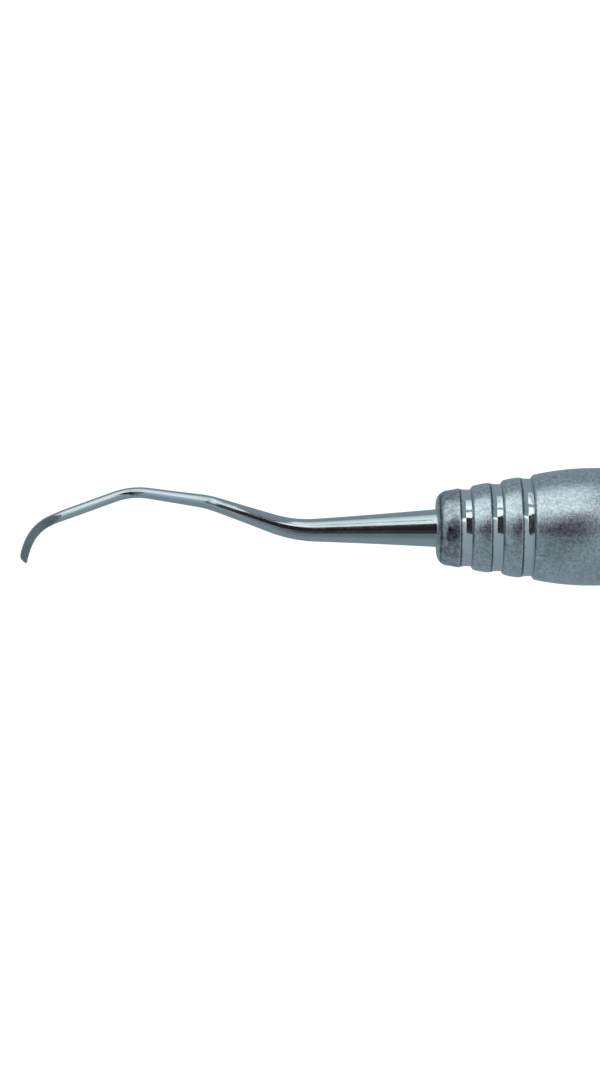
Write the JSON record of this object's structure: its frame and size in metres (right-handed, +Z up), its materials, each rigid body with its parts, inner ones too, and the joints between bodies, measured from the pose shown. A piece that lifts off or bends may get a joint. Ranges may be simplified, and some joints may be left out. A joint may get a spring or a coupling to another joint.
{
  "type": "dental curette",
  "caption": "Double-ended dental hand instrument: hollow satin steel handle with ringed ferrules and slim bent shanks ending in small curved scaling blades.",
  "frame": {"origin": "centre of the handle, on its axis, halfway between the two nose faces", "axes": "+X along the handle axis towards the rear working end, +Y in the bend plane towards the side that the front shank rises to, +Z up out of the bend plane. The front working end points to -X."},
  "size_m": [0.1756, 0.01, 0.01],
  "materials": {
    "satin_steel": "bead-blasted stainless steel with fine grain, the ring grooves turned bright",
    "polished_steel": "mirror-polished stainless steel, blade flanks and face finely ground",
    "brazing_alloy": "silver brazing alloy, as it set"
  },
  "bodies": {
    "root": {"handle_barrel": "satin_steel", "front_ferrule": "satin_steel", "front_braze_ring": "brazing_alloy", "front_working_end": "polished_steel", "rear_ferrule": "satin_steel", "rear_braze_ring": "brazing_alloy", "rear_working_end": "polished_steel"}
  },
  "joints": []
}
